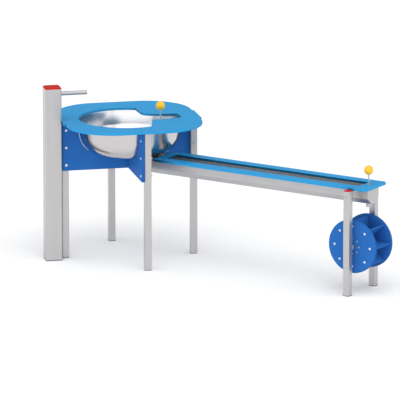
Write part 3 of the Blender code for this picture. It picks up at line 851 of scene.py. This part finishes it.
# ---- lift-out plugs -----------------------------------------------------------------------------
def lift_plug(prefix, body):
    """A ribbed rubber plug on a rod with a ball knob, and the bush that guides the rod."""
    axis = middle(prefix + "_rod")
    place = at(axis.x, axis.y)
    low_z, top_z = low(prefix + "_plug").z, high(prefix + "_plug").z
    wide = (high(prefix + "_plug") - low(prefix + "_plug")).x / 2
    narrow = wide - 0.0035 if prefix == "basin" else wide - 0.0043
    tall = top_z - low_z
    steps = 12
    side = []
    for k in range(steps + 1):
        share = k / steps
        radius = narrow + (wide - narrow) * share - 0.0006 * (1 + cos(2 * pi * 3 * share)) / 2
        side.append((radius, low_z + 0.0006 + (tall - 0.0012) * share))
    profile = [(0, low_z), (narrow - 0.0014, low_z)] + side + [(wide - 0.0016, top_z), (0.009, top_z),
               (0.008, top_z - 0.0015), (0, top_z - 0.0015)]
    plug = turned_mesh(prefix + "_plug", profile, 64, False)
    finish_of(prefix + "_plug", plug, place, "black_rubber")
    rod_radius = (high(prefix + "_rod") - low(prefix + "_rod")).x / 2
    base, tip = low(prefix + "_rod").z - 0.0016, high(prefix + "_rod").z
    rod = [(0, tip), (rod_radius - 0.0005, tip), (rod_radius, tip - 0.0005), (rod_radius, base),
           (0, base)]
    finish_of(prefix + "_rod", turned_mesh(prefix + "_rod", rod, 32, False), place, "stainless_steel")
    washer = [(0, 0), (0.0078, 0), (0.0078, 0.0010), (0.0070, 0.0014), (rod_radius + 0.0024, 0.0014),
              (rod_radius + 0.0026, 0.0022, 6), (rod_radius + 0.0026, 0.0052, 6),
              (rod_radius + 0.0002, 0.0056), (0, 0.0056)]
    piece(prefix + "_plug_nut", turned_mesh(prefix + "_plug_nut", washer, 36, False),
          at(axis.x, axis.y, top_z - 0.0012), body, "stainless_steel")
    knob(prefix, place, rod_radius)
    guide(prefix, place, rod_radius)


def knob(prefix, place, rod_radius):
    """A ball knob, cut flat where its bush sits on the rod."""
    centre = middle(prefix + "_knob").z
    radius = (high(prefix + "_knob") - low(prefix + "_knob")).z / 2
    flat = 0.0075
    start = -acos(flat / radius)
    ball = [(r, centre + z) for r, z in sphere_profile(radius, start, pi / 2, 40)]
    ball[-1] = (0, ball[-1][1])
    base = centre + radius * sin(start)
    profile = [(rod_radius + 0.0003, base + 0.006), (rod_radius + 0.0003, base + 0.0004),
               (rod_radius + 0.0008, base), (flat - 0.0006, base)] + ball
    profile.append((0, base + 0.006))
    made = turned_mesh(prefix + "_knob", profile, 96, False)
    finish_of(prefix + "_knob", made, place, "yellow_plastic")
    ferrule = [(rod_radius + 0.0002, base - 0.0050), (0.0056, base - 0.0050), (0.0062, base - 0.0044),
               (0.0062, base - 0.0001), (rod_radius + 0.0002, base - 0.0001)]
    piece(prefix + "_ferrule", turned_mesh(prefix + "_ferrule", ferrule, 48), place,
          body_of(prefix + "_knob"), "stainless_steel")


def guide(prefix, place, rod_radius):
    """The bush that a plug's rod slides in, with its collar on the board."""
    bottom, top = low(prefix + "_guide").z, high(prefix + "_guide").z
    collar = (high(prefix + "_guide") - low(prefix + "_guide")).x / 2
    under = top - 0.0013
    bore, bush = rod_radius + 0.0003, 0.0082
    profile = [(bore + 0.0004, bottom), (bore, bottom + 0.0004), (bore, top - 0.0006),
               (bore + 0.0006, top), (collar - 0.0012, top), (collar, top - 0.0009), (collar, under),
               (bush, under), (bush, bottom)]
    finish_of(prefix + "_guide", turned_mesh(prefix + "_guide", profile, 48), place, "stainless_steel")


# ---- trough -------------------------------------------------------------------------------------
SHEET = 0.002


def trough():
    """The bent channel with its two end plates, the slotted board on it, and the outlet pipe."""
    channel = plate_from("trough_channel", LINE @ UPRIGHT_Y, "stainless_steel", 0.0003, SHEET)
    outlet = middle("trough_outlet")
    cut_hole(channel, 0.0132, Matrix.Translation((outlet.x, outlet.y, low("trough_channel").z)))
    for end in ("basin", "wheel"):
        plate_from("trough_end_" + end, LINE @ UPRIGHT_Y, "stainless_steel", 0.0005)
    plate_from("trough_frame", LINE, "light_blue_board", BOARD_EDGE)
    bore = 0.013
    radius = (high("trough_outlet") - low("trough_outlet")).x / 2
    bottom, top = low("trough_outlet").z, high("trough_outlet").z
    pipe = [(bore, bottom + 0.0004), (bore + 0.0005, bottom), (radius - 0.0005, bottom),
            (radius, bottom + 0.0004), (radius, top), (bore, top)]
    made = turned_mesh("trough_outlet", pipe, 64)
    finish_of("trough_outlet", made, at(outlet.x, outlet.y), "stainless_steel")
    top = high("trough_frame").z
    length = (low("trough_frame").x + 0.035, high("trough_frame").x - 0.030)
    edge = high("trough_frame").y - 0.030
    count = 6
    spots = [(length[0] + (length[1] - length[0]) * k / (count - 1), side * edge)
             for k in range(count) for side in (-1, 1)]
    places = [towards((x, y, top - 0.0004), (0, 0, 1)) for x, y in spots]
    copies("frame_screws", sunk_screw(0.0040), places, "base", "stainless_steel")


def hanger():
    plate_from("hanger_bracket", LINE, "stainless_steel", 0.0006, 0.004)


# ---- wheel end ----------------------------------------------------------------------------------
def end_legs():
    for side in ("front", "back"):
        node = "end_leg_" + side
        square_tube(node, LEG_CORNER, LEG_WALL, LINE)
        half = half_width(node, on_axis(node, LINE))
        foot("end_foot_" + side, half, LINE)
        crowned_cap("end_cap_" + side, half, LEG_CORNER, 0.0045, 0.013, LINE)
        plate_from("leg_bracket_" + side, LINE @ UPRIGHT_Y, "stainless_steel", 0.0005, 0.0036)


END_BOLT_HEIGHT = 0.583


def leg_fixings():
    """The dome head of one bolt on each end leg's outer face, where its bracket is."""
    for side, way in (("front", -1), ("back", 1)):
        leg = middle("end_leg_" + side)
        face = high("end_leg_back").y * way
        piece("leg_bolt_" + side, dome_bolt(0.0055, 0.0038, 0.0080),
              towards((leg.x, face, END_BOLT_HEIGHT), (0, way, 0)), "base", "stainless_steel")


def paddle_wheel():
    for side, way in (("front", -1), ("back", 1)):
        plate_from("wheel_disc_" + side, WHEEL @ UPRIGHT_X, "dark_blue_board", BOARD_EDGE)
    for k in range(1, 9):
        angle = -2 * pi * (k - 1) / 8
        place = WHEEL @ Matrix.Rotation(angle, 4, "Y")
        node = "paddle_%d" % k
        bottom, top = flat_box(node, place)
        x0, x1, y0, y1 = bottom.x, top.x, bottom.y, top.y
        outline = [Vector(p) for p in ((x0, y0), (x1, y0), (x1, y1), (x0, y1))]
        finish_of(node, plate_mesh(node, [outline], bottom.z, top.z, 0.0015), place, "dark_blue_board")
    face = high("wheel_disc_back").y
    dome = dome_bolt(0.0050, 0.0038, 0.0068, socket=0.0022)
    small = dome_bolt(0.0038, 0.0028, 0.0050, socket=0.0016)
    for side, way in (("front", -1), ("back", 1)):
        for name, mesh, radius, look in (("paddle_bolts_", dome, 0.1175, PLATED),
                                         ("hub_bolts_", small, 0.045, LOOKS["stainless_steel"])):
            turns = [k * pi / 4 for k in range(8)]
            places = [WHEEL @ towards((radius * cos(a), way * face, radius * sin(a)), (0, way, 0))
                      for a in turns]
            copies(name + side, mesh, places, "wheel", "stainless_steel", look)


def axle_parts():
    """The axle with chamfered ends, its hub, and the plain rings of its collars and bearings."""
    turned_y = WHEEL @ Matrix.Rotation(-pi / 2, 4, "X")
    reach = (high("axle") - low("axle")).y / 2
    radius = (high("axle") - low("axle")).x / 2
    ease = 0.001
    axle = [(0, -reach), (radius - ease, -reach), (radius, ease - reach), (radius, reach - ease),
            (radius - ease, reach), (0, reach)]
    finish_of("axle", turned_mesh("axle", axle, 64, False), turned_y, "stainless_steel")
    bore = radius + 0.0003
    hub = (high("hub") - low("hub")) / 2
    profile = [(bore, -hub.y), (hub.x - 0.001, -hub.y), (hub.x, 0.001 - hub.y), (hub.x, hub.y - 0.001),
               (hub.x - 0.001, hub.y), (bore, hub.y)]
    finish_of("hub", turned_mesh("hub", profile, 72), turned_y, "dark_blue_board")
    for kind in ("collar_", "bearing_"):
        for side in ("front", "back"):
            node = kind + side
            half = (high(node) - low(node)) / 2
            soft = min(0.0012, half.y * 0.3)
            ringed = [(bore, soft - half.y), (bore + soft / 2, -half.y), (half.x - soft, -half.y),
                      (half.x, soft - half.y), (half.x, half.y - soft), (half.x - soft, half.y),
                      (bore + soft / 2, half.y), (bore, half.y - soft)]
            place = Matrix.Translation(middle(node)) @ Matrix.Rotation(-pi / 2, 4, "X")
            finish_of(node, turned_mesh(node, ringed, 64), place, "stainless_steel")


def paint_what_stays():
    """CAD nodes that are shown as they are get the brushed steel."""
    for made in frame["nodes"].values():
        if made.hide_render:
            continue
        for slot in made.material_slots:
            slot.link = "OBJECT"
            slot.material = LOOKS["stainless_steel"]


# ---- camera, light and floor --------------------------------------------------------------------
DIM_SIDE = Vector((-0.52, 0.82, 0.22)).normalized()    # the studio's dim wall, behind the table
SKY_BRIGHT, SKY_DIM = 1.25, 0.34
SUN = 0.45


def studio():
    """A pale floor, a soft sun, and a sky that is dim behind the table and white to the camera."""
    floor_mesh = bpy.data.meshes.new("floor")
    reach = 60.0
    corners = [(-reach, -reach, 0), (reach, -reach, 0), (reach, reach, 0), (-reach, reach, 0)]
    floor_mesh.from_pydata(corners, [], [(0, 1, 2, 3)])
    floor = bpy.data.objects.new("floor", floor_mesh)
    bpy.context.scene.collection.objects.link(floor)
    look, tree, shader = principled("studio_floor", Roughness=0.9, Specular_IOR_Level=0.1,
                                    Emission_Strength=0.06)
    tone = ramp(tree, noise(tree, 0.5), (0.955, 0.955, 0.955), (0.965, 0.965, 0.965))
    drive(tree, shader, Base_Color=tone)
    floor_mesh.materials.append(look)

    world = bpy.data.worlds.new("studio")
    world.use_nodes = True
    tree = world.node_tree
    way = add(tree, "TexCoord").outputs["Generated"]
    dim = add(tree, "VectorMath", {0: way, 1: DIM_SIDE}, operation="DOT_PRODUCT").outputs["Value"]
    glow = between(tree, dim, SKY_BRIGHT, SKY_DIM, 0.1, 0.85)
    seen = add(tree, "LightPath").outputs["Is Camera Ray"]
    sky = tree.nodes["Background"]
    sky.inputs["Color"].default_value = (1, 1, 1, 1)
    tree.links.new(blend_of(tree, seen, glow, 1.03), sky.inputs["Strength"])
    bpy.context.scene.world = world

    lamp = bpy.data.lights.new("window", "SUN")
    lamp.energy = SUN
    lamp.angle = radians(35)
    sun = bpy.data.objects.new("window", lamp)
    sun.rotation_euler = Vector((-0.35, 0.45, -1.0)).to_track_quat("-Z", "Y").to_euler()
    bpy.context.scene.collection.objects.link(sun)


def camera():
    """A long lens at the photographed angle: 32.6 degrees round from the front, 13.3 degrees up."""
    aim = Vector((-0.1438, -0.0025, 0.3960))
    azimuth, elevation, distance = radians(32.59), radians(13.335), 34.993
    back = Vector((sin(azimuth) * cos(elevation), -cos(azimuth) * cos(elevation), sin(elevation)))
    data = bpy.data.cameras.new("camera")
    data.lens = 540
    data.sensor_width = 36
    data.clip_start, data.clip_end = 1, 200
    made = bpy.data.objects.new("camera", data)
    made.location = aim + back * distance
    made.rotation_euler = (-back).to_track_quat("-Z", "Y").to_euler()
    bpy.context.scene.collection.objects.link(made)
    bpy.context.scene.camera = made


water_post()
basin_legs()
bowl()
bowl_highlight_tubes()
drain()
basin_boards()
panel_fixings()
rim_screws()
lift_plug("basin", "basin_valve")
trough()
lift_plug("trough", "trough_valve")
hanger()
end_legs()
leg_fixings()
paddle_wheel()
axle_parts()
paint_what_stays()
studio()
camera()
bpy.context.scene.view_settings.view_transform = "Standard"
